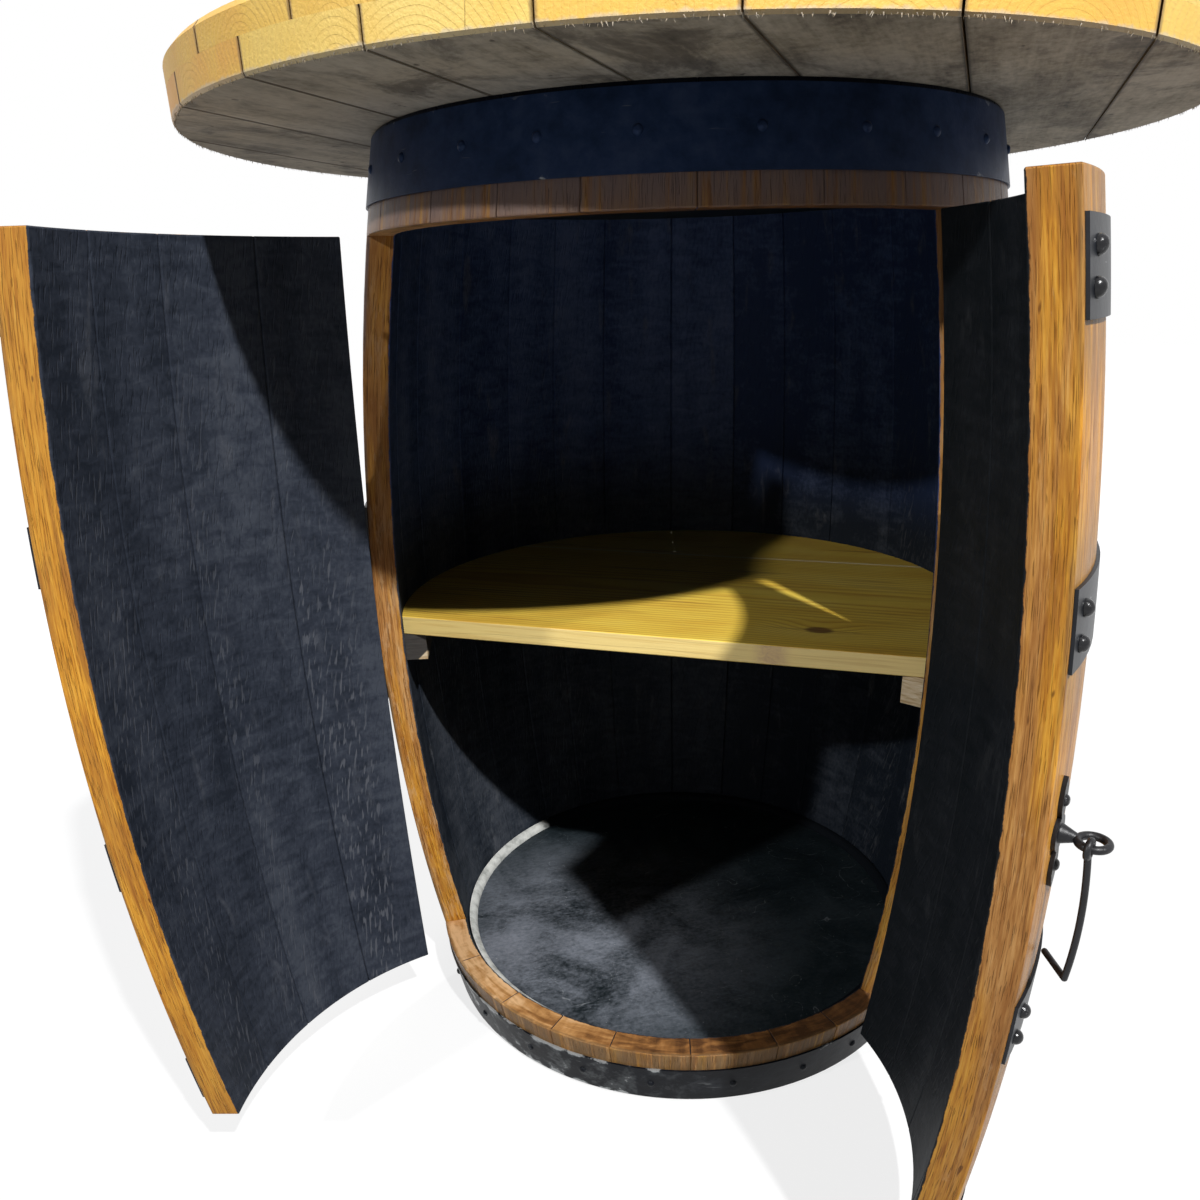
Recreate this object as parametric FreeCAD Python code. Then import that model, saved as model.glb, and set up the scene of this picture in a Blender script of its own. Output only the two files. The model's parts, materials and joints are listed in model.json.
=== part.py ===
import FreeCAD, Part
import math
import os

from FreeCAD import Vector

# Barrel bar cabinet: an oak barrel with two doors sawn out of its front, a shelf, and a round board top.
# Millimetres and degrees. Z is up, the front faces -Y, and the origin is on the barrel axis at the floor.
# An angle about the barrel is measured from the front, positive towards the right (+X).

# Barrel shell
barrel_height = 890.0
end_radius = 277.0
bilge_radius = 326.0
stave_thickness = 25.0
stave_joint_gap = 0.3
stave_edge_rounding = 1.2
door_angle = 60.0
stave_width_shares = (0.267, 0.291, 0.225, 0.217)
carcass_group_count = 4

# Door opening
sill_height = 70.0
header_drop = 78.0
saw_kerf = 3.0

# Barrel heads and their grooves
chime_depth = 30.0
head_thickness = 22.0
head_board_count = 5
head_board_gap = 0.4
head_edge_clearance = 0.4
croze_depth = 6.0
croze_width = 8.0
croze_clearance = 0.2
seal_size = 9.0

# Hoops
hoop_thickness = 2.0
hoop_seat = 0.1
door_hoop_inset = 2.0
carcass_hoop_setback = 40.0
top_hoop_height = 53.0
bottom_hoop_height = 45.0
chime_hoop_inset = 3.0
door_hoop_height = 45.0
quarter_hoop_inset = 45.0
upper_bilge_hoop_rise = 152.0
lower_bilge_hoop_fall = 107.0

# Hoop nails and the bolts at the ends of the door hoops
nail_head_radius = 3.8
nail_head_height = 2.2
nail_shank_radius = 1.4
nail_length = 18.0
bolt_head_radius = 5.0
bolt_head_height = 4.6
bolt_shank_radius = 2.5
bolt_length = 20.0
hoop_fixing_inset = 13.0
hoop_fixing_spacing = 18.0
hoop_fixing_stagger = 4.0
fastener_clearance = 0.05

# Hinges
hinge_height = 64.0
hinge_hoop_gap = 4.0
hinge_standoff = 5.0
leaf_width = 24.0
leaf_thickness = 2.0
leaf_seat = 0.1
knuckle_radius = 4.5
knuckle_count = 3
knuckle_gap = 0.4
pin_radius = 2.5
pin_clearance = 0.05
pin_head_radius = 3.8
pin_head_height = 2.0
leaf_screw_inset = 9.0

# Wood screws
screw_head_radius = 3.6
screw_head_depth = 1.7
screw_shank_radius = 1.8
leaf_screw_length = 18.0
block_screw_length = 40.0
block_screw_spacing = 28.0

# Open doors in the stored pose
left_door_open = 73.5
right_door_open = 68.0

# Hook latch
latch_inset = 24.0
latch_rise = 5.0
latch_plate_thickness = 2.5
latch_boss_radius = 11.0
latch_lobe_width = 12.0
latch_lobe_start = 7.0
latch_lobe_end = 36.0
latch_screw_offset = 21.0
latch_seat = 0.1
eye_reach = 19.0
eye_radius = 8.0
eye_wire_radius = 2.5
eye_neck_radius = 7.0
eye_spike_radius = 3.0
eye_spike_length = 16.0
hook_length = 88.0
hook_tip_length = 25.0
hook_wire_radius = 2.0
hook_bow = 2.5
hook_twist = 42.0
hook_loop_clearance = 0.3
hook_rest_gap = 0.6

# Shelf
shelf_top_height = 452.0
shelf_thickness = 20.0
shelf_front_setback = 184.0
shelf_joint_setback = 491.0
shelf_board_gap = 0.4
shelf_edge_clearance = 0.6
shelf_edge_rounding = 1.5
block_width = 60.0
block_height = 28.0
block_depth = 24.0
block_jamb_margin = 3.0
rear_block_angle = 145.0
block_seat = 0.1

# Board top
table_radius = 435.0
lower_board_thickness = 21.0
upper_board_thickness = 20.0
table_board_width = 105.0
table_board_gap = 1.6
table_seam_offset = 44.0
table_turn = -2.2
table_upper_bevel = 5.0
table_lower_bevel = 2.0
cleat_width = 60.0
cleat_offset = 95.0
cleat_end_margin = 15.0
table_screw_length = 69.0
table_screw_board_steps = (-1.5, -0.5, 0.5)

# Construction helpers
cut_overrun = 5.0
full_turn = 360.0
half_turn = 180.0
quarter_turn = 90.0
origin = Vector(0, 0, 0)
x_axis = Vector(1, 0, 0)
y_axis = Vector(0, 1, 0)
z_axis = Vector(0, 0, 1)

# Places worked out from the sizes above
mid_height = barrel_height / 2
bilge_swell = bilge_radius - end_radius
curve_radius = (mid_height**2 + bilge_swell**2) / (2 * bilge_swell)
curve_centre = bilge_radius - curve_radius
header_height = barrel_height - header_drop
kerf_angle = math.degrees(saw_kerf / bilge_radius)
joint_angle = math.degrees(stave_joint_gap / bilge_radius)
door_hoop_inset_angle = math.degrees(door_hoop_inset / bilge_radius)
carcass_hoop_setback_angle = math.degrees(carcass_hoop_setback / bilge_radius)
hoop_outer = hoop_seat + hoop_thickness
upper_quarter_height = header_height - quarter_hoop_inset
lower_quarter_height = sill_height + quarter_hoop_inset
upper_bilge_height = mid_height + upper_bilge_hoop_rise
lower_bilge_height = mid_height - lower_bilge_hoop_fall
top_hoop_centre = barrel_height - chime_hoop_inset - top_hoop_height / 2
bottom_hoop_centre = chime_hoop_inset + bottom_hoop_height / 2
hinge_angle = door_angle - kerf_angle / 2
hinge_radius = bilge_radius + hinge_standoff
hinge_x = hinge_radius * math.sin(math.radians(hinge_angle))
hinge_y = -hinge_radius * math.cos(math.radians(hinge_angle))
upper_hinge_height = upper_bilge_height - (door_hoop_height + hinge_height) / 2 - hinge_hoop_gap
lower_hinge_height = lower_bilge_height + (door_hoop_height + hinge_height) / 2 + hinge_hoop_gap
latch_height = (upper_bilge_height + lower_bilge_height) / 2 + latch_rise
shelf_bottom_height = shelf_top_height - shelf_thickness
croze_low = chime_depth + (head_thickness - croze_width) / 2

arc_hoops = {
    "upper_quarter_hoop": upper_quarter_height,
    "upper_bilge_hoop": upper_bilge_height,
    "lower_bilge_hoop": lower_bilge_height,
    "lower_quarter_hoop": lower_quarter_height,
}

nodes = {}
drilled = {}


def radius_at(height, offset):
    """Radius of the barrel's outer surface, moved outwards by offset, at a height."""
    return curve_centre + math.sqrt((curve_radius + offset) ** 2 - (height - mid_height) ** 2)


def tilt_at(height, offset):
    """How far the outward normal leans upwards at a height, in degrees."""
    return math.degrees(math.asin((height - mid_height) / (curve_radius + offset)))


def shell_section(low, high, inner, outer):
    """The meridian section between two offsets of the barrel's surface and two heights."""

    def point(height, offset):
        return Vector(radius_at(height, offset), 0, height)

    middle = (low + high) / 2
    curves = [
        Part.LineSegment(point(low, inner), point(low, outer)),
        Part.Arc(point(low, outer), point(middle, outer), point(high, outer)),
        Part.LineSegment(point(high, outer), point(high, inner)),
        Part.Arc(point(high, inner), point(middle, inner), point(low, inner)),
    ]
    return Part.Face(Part.Wire([curve.toShape() for curve in curves]))


def ring_section(points):
    """A flat section in the XZ plane through (radius, height) points."""
    corners = [Vector(radius, 0, height) for radius, height in points]
    return Part.Face(Part.makePolygon(corners + corners[:1]))


def swept(section, start, stop):
    """Turn a section about the barrel axis from one angle to another."""
    shape = section.revolve(origin, z_axis, stop - start)
    shape.rotate(origin, z_axis, start - quarter_turn)
    return shape


def inside_barrel(offset, low, high):
    """The whole space within the barrel's surface moved outwards by offset."""
    middle = (low + high) / 2
    foot = Vector(radius_at(low, offset), 0, low)
    waist = Vector(radius_at(middle, offset), 0, middle)
    brow = Vector(radius_at(high, offset), 0, high)
    centre_low = Vector(0, 0, low)
    centre_high = Vector(0, 0, high)
    edges = [
        Part.LineSegment(centre_low, foot).toShape(),
        Part.Arc(foot, waist, brow).toShape(),
        Part.LineSegment(brow, centre_high).toShape(),
        Part.LineSegment(centre_high, centre_low).toShape(),
    ]
    return Part.Face(Part.Wire(edges)).revolve(origin, z_axis, full_turn)


def turned(points):
    """A solid turned about the X axis through (along, radius) points."""
    corners = [Vector(along, radius, 0) for along, radius in points]
    return Part.Face(Part.makePolygon(corners + corners[:1])).revolve(origin, x_axis, full_turn)


def on_surface(shape, angle, height, offset):
    """Stand a shape made along +X on the barrel's surface, with +X outwards."""
    placed = shape.copy()
    placed.rotate(origin, y_axis, -tilt_at(height, offset))
    placed.translate(Vector(radius_at(height, offset), 0, height))
    placed.rotate(origin, z_axis, angle - quarter_turn)
    return placed


def domed_fastener(head_radius, head_height, shank_radius, length):
    """A fastener along X with a domed head whose seat is at zero."""
    dome_share = math.sqrt(0.5)
    crown = Vector(head_height, 0, 0)
    shoulder = Vector(head_height * dome_share, head_radius * dome_share, 0)
    rim = Vector(0, head_radius, 0)
    neck = Vector(0, shank_radius, 0)
    tip = Vector(-length, shank_radius, 0)
    end = Vector(-length, 0, 0)
    edges = [
        Part.Arc(crown, shoulder, rim).toShape(),
        Part.LineSegment(rim, neck).toShape(),
        Part.LineSegment(neck, tip).toShape(),
        Part.LineSegment(tip, end).toShape(),
        Part.LineSegment(end, crown).toShape(),
    ]
    return Part.Face(Part.Wire(edges)).revolve(origin, x_axis, full_turn)


def shank_hole(shank_radius, length, reach):
    """The hole for a shank along X, from its tip out to reach beyond the seat."""
    radius = shank_radius + fastener_clearance
    low = length + fastener_clearance
    return Part.makeCylinder(radius, low + reach, Vector(-low, 0, 0), x_axis)


def wood_screw(length, clearance):
    """A countersunk screw along X with its face at zero, grown by a clearance for its hole."""
    head = screw_head_radius + clearance
    shank = screw_shank_radius + clearance
    return turned(
        [
            (clearance, 0),
            (clearance, head),
            (-screw_head_depth, shank),
            (-length - clearance, shank),
            (-length - clearance, 0),
        ]
    )


def drill(name, tool):
    """Keep a tool that is cut from a named piece when it is finished."""
    drilled.setdefault(name, []).append(tool)


def finish(name, shape):
    """A piece with all its holes cut."""
    tools = drilled.get(name, [])
    return shape.cut(tools) if tools else shape


def add_node(name, shapes):
    """Keep one piece, or a group of like pieces, as a named node."""
    solids = [solid for shape in shapes for solid in shape.Solids]
    nodes[name] = solids[0] if len(solids) == 1 else Part.makeCompound(solids)


def mirrored(shape):
    """The same shape on the other side of the cabinet."""
    return shape.mirror(origin, x_axis)


def opened(shape, side):
    """A door piece turned from its closed place to its stored open place."""
    placed = shape.copy()
    swing = right_door_open if side > 0 else -left_door_open
    placed.rotate(Vector(side * hinge_x, hinge_y, 0), z_axis, swing)
    return placed


def eased(shape, level):
    """Round the edges of a stave that reach a level."""
    slack = stave_joint_gap
    edges = []
    for edge in shape.Edges:
        box = edge.BoundBox
        if box.ZMin - slack < level < box.ZMax + slack:
            edges.append(edge)
    return shape.makeFillet(stave_edge_rounding, edges)


def croze_cut(section):
    """Cut the two head grooves out of a stave section."""
    inner = radius_at(croze_low + croze_width / 2, -stave_thickness)
    low = croze_low - croze_clearance
    high = croze_low + croze_width + croze_clearance
    near = inner - stave_thickness
    far = inner + croze_depth
    groove = ring_section([(near, low), (far, low), (far, high), (near, high)])
    upper = groove.mirror(Vector(0, 0, mid_height), z_axis)
    return section.cut([groove, upper]).Faces[0]


# Stave layout round the barrel: the right door, the carcass from jamb to jamb, then the left door
def stave_layout():
    carcass_group_angle = (full_turn - 2 * door_angle) / carcass_group_count
    groups = [door_angle] + [carcass_group_angle] * carcass_group_count + [door_angle]
    spans = []
    start = 0
    for group in groups:
        for share in stave_width_shares:
            stop = start + group * share / sum(stave_width_shares)
            spans.append((start, stop))
            start = stop
    return spans


staves_per_group = len(stave_width_shares)
spans = stave_layout()
right_spans = spans[:staves_per_group]
left_spans = spans[-staves_per_group:]
carcass_spans = spans[staves_per_group:-staves_per_group]
right_door_names = [f"right_door_stave_{i + 1}" for i in range(staves_per_group)]
left_door_names = [f"left_door_stave_{i + 1}" for i in range(staves_per_group)]
carcass_names = [f"carcass_stave_{i + 1:02d}" for i in range(len(carcass_spans))]
doors = {1: (right_door_names, right_spans), -1: (left_door_names, left_spans)}
header_names = [f"header_{i}" for i in range(2 * staves_per_group)]
sill_names = [f"sill_{i}" for i in range(2 * staves_per_group)]


def stave_at(angle):
    """The carcass stave that an angle falls on."""
    turn = angle % full_turn
    for name, (start, stop) in zip(carcass_names, carcass_spans):
        if start <= turn < stop:
            return name
    raise ValueError("the angle is in the door opening")


nail = domed_fastener(nail_head_radius, nail_head_height, nail_shank_radius, nail_length)
bolt = domed_fastener(bolt_head_radius, bolt_head_height, bolt_shank_radius, bolt_length)
nail_hole = shank_hole(nail_shank_radius, nail_length, cut_overrun)
bolt_hole = shank_hole(bolt_shank_radius, bolt_length, cut_overrun)


def fix_hoop(fastener, hole, angle, height, pieces):
    """Drive a fastener through a hoop into the stave below it, and drill both."""
    seat = hoop_outer + fastener_clearance
    for piece in pieces:
        drill(piece, on_surface(hole, angle, height, seat))
    return on_surface(fastener, angle, height, seat)


def hoop_end_fixings(fastener, hole, height, end, direction, pieces):
    """Two staggered fasteners at one end of a hoop; direction points along the hoop, away from the end."""
    fixings = []
    for step in (-1, 1):
        along = hoop_fixing_inset + (1 + step) * hoop_fixing_stagger / 2
        angle = end + direction * math.degrees(along / bilge_radius)
        level = height + step * hoop_fixing_spacing / 2
        fixings.append(fix_hoop(fastener, hole, angle, level, pieces))
    return fixings


def arc_hoop(hoop, height, first, last, stave_names, stave_spans, fastener, hole):
    """A hoop strip round some staves, fastened at both ends, with a nail in each stave between."""
    low = height - door_hoop_height / 2
    high = height + door_hoop_height / 2
    strip = swept(shell_section(low, high, hoop_seat, hoop_outer), first, last)
    fixings = hoop_end_fixings(fastener, hole, height, first, 1, (hoop, stave_names[0]))
    fixings += hoop_end_fixings(fastener, hole, height, last, -1, (hoop, stave_names[-1]))
    for name, (begin, end) in list(zip(stave_names, stave_spans))[1:-1]:
        fixings.append(fix_hoop(nail, nail_hole, (begin + end) / 2, height, (hoop, name)))
    return finish(hoop, strip), fixings


def make_hoops():
    """Chime hoops round the ends, strips that stop short of the jambs, and strips on both doors."""
    nails = []
    chimes = {
        "top_chime_hoop": (top_hoop_centre, top_hoop_height, header_names),
        "bottom_chime_hoop": (bottom_hoop_centre, bottom_hoop_height, sill_names),
    }
    for hoop, (height, width, short_names) in chimes.items():
        low = height - width / 2
        high = height + width / 2
        names = short_names[:staves_per_group] + carcass_names + short_names[staves_per_group:]
        for name, (start, stop) in zip(names, spans):
            nails.append(fix_hoop(nail, nail_hole, (start + stop) / 2, height, (hoop, name)))
        ring = swept(shell_section(low, high, hoop_seat, hoop_outer), 0, full_turn)
        add_node(hoop, [finish(hoop, ring)])
    door_strips = {1: [], -1: []}
    door_nails = {1: [], -1: []}
    first = door_angle + carcass_hoop_setback_angle
    last = full_turn - first
    for hoop, height in arc_hoops.items():
        strip, fixings = arc_hoop(hoop, height, first, last, carcass_names, carcass_spans, nail, nail_hole)
        add_node(hoop, [strip])
        nails += fixings
        for side, (names, door_spans) in doors.items():
            start, stop = door_limits(side)
            start += door_hoop_inset_angle
            stop -= door_hoop_inset_angle
            door_hoop = f"{hoop}_{side}"
            strip, fixings = arc_hoop(door_hoop, height, start, stop, names, door_spans, bolt, bolt_hole)
            door_strips[side].append(opened(strip, side))
            door_nails[side] += [opened(fixing, side) for fixing in fixings]
    add_node("carcass_hoop_nails", nails)
    add_node("right_door_hoops", door_strips[1])
    add_node("left_door_hoops", door_strips[-1])
    add_node("right_door_hoop_nails", door_nails[1])
    add_node("left_door_hoop_nails", door_nails[-1])


def door_limits(side):
    """The angles of a closed door's two long edges."""
    free_edge = kerf_angle / 2
    hinge_edge = door_angle - kerf_angle
    if side > 0:
        return free_edge, hinge_edge
    return full_turn - hinge_edge, full_turn - free_edge


def hinge_leaf(side, centre, own_knuckles, stave):
    """A hinge leaf bent to the barrel; side is 1 on the carcass and -1 on the door. Also its screws."""
    low = centre - hinge_height / 2
    knuckle_pitch = hinge_height / knuckle_count
    leaf_start = knuckle_radius + knuckle_gap
    near = hinge_angle + side * math.degrees(leaf_start / hinge_radius)
    far = hinge_angle + side * math.degrees((leaf_start + leaf_width) / hinge_radius)
    plate = shell_section(low, low + hinge_height, leaf_seat, leaf_seat + leaf_thickness)
    leaf = swept(plate, min(near, far), max(near, far))
    web_end = hinge_angle + side * math.degrees((leaf_start + leaf_thickness) / hinge_radius)
    for index in own_knuckles:
        foot = low + index * knuckle_pitch + knuckle_gap / 2
        length = knuckle_pitch - knuckle_gap
        web = shell_section(foot, foot + length, leaf_seat, hinge_standoff)
        knuckle = Part.makeCylinder(knuckle_radius, length, Vector(hinge_x, hinge_y, foot), z_axis)
        leaf = leaf.fuse([swept(web, min(hinge_angle, web_end), max(hinge_angle, web_end)), knuckle])
    bore_foot = Vector(hinge_x, hinge_y, low - cut_overrun)
    bore = Part.makeCylinder(pin_radius + pin_clearance, hinge_height + 2 * cut_overrun, bore_foot, z_axis)
    screws = []
    holes = [bore]
    face = leaf_seat + leaf_thickness
    angle = (near + far) / 2
    rise = hinge_height / 2 - leaf_screw_inset
    for height in (centre - rise, centre, centre + rise):
        screws.append(on_surface(wood_screw(leaf_screw_length, 0), angle, height, face))
        hole = on_surface(wood_screw(leaf_screw_length, fastener_clearance), angle, height, face)
        holes.append(hole)
        drill(stave, hole)
    return leaf.cut(holes), screws


def hinge_pin(centre):
    """A plain pin with a domed head resting on the top knuckle."""
    low = centre - hinge_height / 2
    foot = Vector(hinge_x, hinge_y, low)
    pin = Part.makeCylinder(pin_radius, hinge_height, foot, z_axis)
    top = Vector(hinge_x, hinge_y, low + hinge_height)
    head = Part.makeCylinder(pin_head_radius, pin_head_height, top, z_axis)
    return pin.fuse(head)


def make_hinges():
    """Two hinges for each door, built closed on the right and mirrored to the left."""
    leaves = {"frame": [], 1: [], -1: []}
    screws = {"frame": [], 1: [], -1: []}
    pins = []
    for centre in (lower_hinge_height, upper_hinge_height):
        frame_leaf, frame_screws = hinge_leaf(1, centre, range(0, knuckle_count, 2), "hinge_frame_stave")
        door_leaf, door_screws = hinge_leaf(-1, centre, range(1, knuckle_count, 2), "hinge_door_stave")
        pin = hinge_pin(centre)
        leaves["frame"] += [frame_leaf, mirrored(frame_leaf)]
        screws["frame"] += frame_screws + [mirrored(screw) for screw in frame_screws]
        pins += [pin, mirrored(pin)]
        leaves[1].append(opened(door_leaf, 1))
        leaves[-1].append(opened(mirrored(door_leaf), -1))
        screws[1] += [opened(screw, 1) for screw in door_screws]
        screws[-1] += [opened(mirrored(screw), -1) for screw in door_screws]
    for tool in drilled["hinge_frame_stave"]:
        drill(carcass_names[0], tool)
        drill(carcass_names[-1], mirrored(tool))
    for tool in drilled["hinge_door_stave"]:
        drill(right_door_names[-1], tool)
        drill(left_door_names[0], mirrored(tool))
    add_node("hinge_frame_leaves", leaves["frame"])
    add_node("hinge_pins", pins)
    add_node("right_door_hinge_leaves", leaves[1])
    add_node("left_door_hinge_leaves", leaves[-1])
    return screws


def lobe(sign):
    """One leaf-shaped end of a latch plate, in the XZ plane."""
    root = Vector(0, 0, sign * latch_lobe_start)
    tip = Vector(0, 0, sign * latch_lobe_end)
    belly = sign * (latch_lobe_start + latch_lobe_end) / 2
    right = Part.Arc(root, Vector(latch_lobe_width / 2, 0, belly), tip)
    left = Part.Arc(tip, Vector(-latch_lobe_width / 2, 0, belly), root)
    return Part.Face(Part.Wire([right.toShape(), left.toShape()]))


def eye_plate(across, height, standoff, staves):
    """A plate bent to the barrel, an eye that stands out of it, and its screws; across is along X."""
    reach = bilge_radius + standoff
    boss_edge = Part.makeCircle(latch_boss_radius, origin, y_axis)
    outline = [Part.Face(Part.Wire([boss_edge])), lobe(1), lobe(-1)]
    prisms = [face.extrude(Vector(0, -reach, 0)) for face in outline]
    prism = prisms[0].fuse(prisms[1:])
    prism.translate(Vector(across, 0, height))
    low = height - latch_lobe_end - cut_overrun
    high = height + latch_lobe_end + cut_overrun
    face = latch_seat + latch_plate_thickness
    angle = math.degrees(math.asin(across / bilge_radius))
    spread = math.degrees((latch_boss_radius + cut_overrun) / bilge_radius)
    skin = swept(shell_section(low, high, latch_seat, face), angle - spread, angle + spread)
    plate = prism.common(skin)

    ring = Part.makeTorus(eye_radius, eye_wire_radius, Vector(across, -reach, height), z_axis)
    back = Vector(across, -bilge_radius * math.cos(math.radians(angle)), height)
    neck_length = reach - eye_radius + back.y
    neck = Part.makeCone(eye_neck_radius, eye_wire_radius, neck_length, back, -y_axis)
    spike_start = back + Vector(0, eye_spike_length, 0)
    spike_length = eye_spike_length + neck_length / 2
    spike = Part.makeCylinder(eye_spike_radius, spike_length, spike_start, -y_axis)
    barrel = inside_barrel(face + fastener_clearance, low, high)
    eye = neck.cut(barrel).fuse([ring, spike])
    hole_start = spike_start + Vector(0, fastener_clearance, 0)
    hole_radius = eye_spike_radius + fastener_clearance
    holes = [Part.makeCylinder(hole_radius, spike_length, hole_start, -y_axis)]

    screws = []
    for sign in (-1, 1):
        level = height + sign * latch_screw_offset
        seat = face + fastener_clearance
        screws.append(on_surface(nail, angle, level, seat))
        holes.append(on_surface(nail_hole, angle, level, seat))
    for stave in staves:
        for hole in holes:
            drill(stave, hole)
    return plate.cut(holes), eye, screws


def hook(pivot):
    """A hanging hook: a loop round the eye's wire, a bowed shank, and a tip twisted towards the door."""
    loop_radius = eye_wire_radius + hook_loop_clearance + hook_wire_radius
    loop = Part.makeTorus(loop_radius, hook_wire_radius, pivot, y_axis)
    top = pivot - Vector(0, 0, loop_radius)
    heel = pivot - Vector(0, 0, hook_length)
    belly = Vector(pivot.x, pivot.y - hook_bow, (top.z + heel.z) / 2)
    bow = Part.Arc(top, belly, heel)
    start = bow.FirstParameter
    section = Part.makeCircle(hook_wire_radius, top, bow.tangent(start)[0])
    shank = Part.Wire([bow.toShape()]).makePipeShell([Part.Wire([section])], True, False)
    twist = math.radians(hook_twist)
    aim = Vector(math.cos(twist), math.sin(twist), 0)
    tip = Part.makeCylinder(hook_wire_radius, hook_tip_length, heel, aim)
    knee = Part.makeSphere(hook_wire_radius, heel)
    point = Part.makeSphere(hook_wire_radius, heel + aim * hook_tip_length)
    return loop.fuse([shank, knee, tip, point]).removeSplitter()


def make_latch(screws):
    """The eye and hook on the right door and the keeper eye on the left door."""
    plate, eye, plate_screws = eye_plate(latch_inset, latch_height, eye_reach, right_door_names)
    pivot = Vector(latch_inset - eye_radius, -bilge_radius - eye_reach, latch_height)
    keeper_drop = hook_wire_radius + eye_wire_radius + hook_rest_gap
    keeper_across = pivot.x - hook_length
    keeper_reach = eye_reach - keeper_drop * math.tan(math.radians(hook_twist))
    keeper = eye_plate(keeper_across, latch_height - keeper_drop, keeper_reach, left_door_names)
    add_node("latch_plate", [opened(plate, 1)])
    add_node("latch_eye", [opened(eye, 1)])
    add_node("latch_hook", [opened(hook(pivot), 1)])
    add_node("keeper_plate", [opened(keeper[0], -1)])
    add_node("keeper_eye", [opened(keeper[1], -1)])
    add_node("right_door_screws", screws[1] + [opened(screw, 1) for screw in plate_screws])
    add_node("left_door_screws", screws[-1] + [opened(screw, -1) for screw in keeper[2]])


def make_heads():
    """Top and bottom heads of edge-jointed boards, tongued into the stave grooves, and the floor seal."""
    top = chime_depth + head_thickness
    croze_high = croze_low + croze_width
    wall = radius_at(croze_low, -stave_thickness) - head_edge_clearance
    foot = radius_at(chime_depth, -stave_thickness) - head_edge_clearance
    tongue = radius_at(croze_low + croze_width / 2, -stave_thickness) + croze_depth - head_edge_clearance
    profile = [
        (0, chime_depth),
        (foot, chime_depth),
        (foot, croze_low),
        (tongue, croze_low),
        (tongue, croze_high),
        (wall, croze_high),
        (wall, top),
        (0, top),
    ]
    disc = swept(ring_section(profile), 0, full_turn)
    board_width = 2 * tongue / head_board_count
    boards = []
    for index in range(head_board_count):
        back = -tongue + index * board_width + head_board_gap / 2
        corner = Vector(-tongue, back, chime_depth)
        box = Part.makeBox(2 * tongue, board_width - head_board_gap, head_thickness, corner)
        boards.append(disc.common(box))
    add_node("bottom_head_boards", boards)
    upper = [board.mirror(Vector(0, 0, mid_height), z_axis) for board in boards]
    upper = [finish("top_head", board) for board in upper]
    add_node("top_head_boards", upper)

    seal_wall = radius_at(top, -stave_thickness) - head_edge_clearance
    seal_share = math.sqrt(0.5)
    inner = Vector(seal_wall - seal_size, 0, top)
    corner = Vector(seal_wall, 0, top)
    crest = Vector(seal_wall, 0, top + seal_size)
    bead = Vector(seal_wall - seal_size * seal_share, 0, top + seal_size * seal_share)
    edges = [
        Part.LineSegment(inner, corner).toShape(),
        Part.LineSegment(corner, crest).toShape(),
        Part.Arc(crest, bead, inner).toShape(),
    ]
    add_node("bottom_head_seal", [swept(Part.Face(Part.Wire(edges)), 0, full_turn)])


def make_staves():
    """Whole staves of the carcass, short ends over and under the doors, and the door staves."""
    whole = croze_cut(shell_section(0, barrel_height, -stave_thickness, 0))
    header = croze_cut(shell_section(header_height, barrel_height, -stave_thickness, 0))
    sill = croze_cut(shell_section(0, sill_height, -stave_thickness, 0))
    door = shell_section(sill_height + saw_kerf, header_height - saw_kerf, -stave_thickness, 0)
    half_gap = joint_angle / 2

    def stave(name, section, span, level):
        start, stop = span
        blank = swept(section, start + half_gap, stop - half_gap)
        return finish(name, eased(blank, level))

    for name, span in zip(carcass_names, carcass_spans):
        add_node(name, [stave(name, whole, span, mid_height)])
    front_spans = right_spans + left_spans
    headers = [stave(name, header, span, header_height) for name, span in zip(header_names, front_spans)]
    sills = [stave(name, sill, span, sill_height) for name, span in zip(sill_names, front_spans)]
    add_node("header_stave_ends", headers)
    add_node("sill_stave_ends", sills)
    for side, (names, door_spans) in doors.items():
        first, last = door_limits(side)
        for name, (start, stop) in zip(names, door_spans):
            span = (max(start, first), min(stop, last))
            blank = swept(door, span[0] + half_gap, span[1] - half_gap)
            rounded = blank.makeFillet(stave_edge_rounding, blank.Edges)
            add_node(name, [opened(finish(name, rounded), side)])


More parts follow.
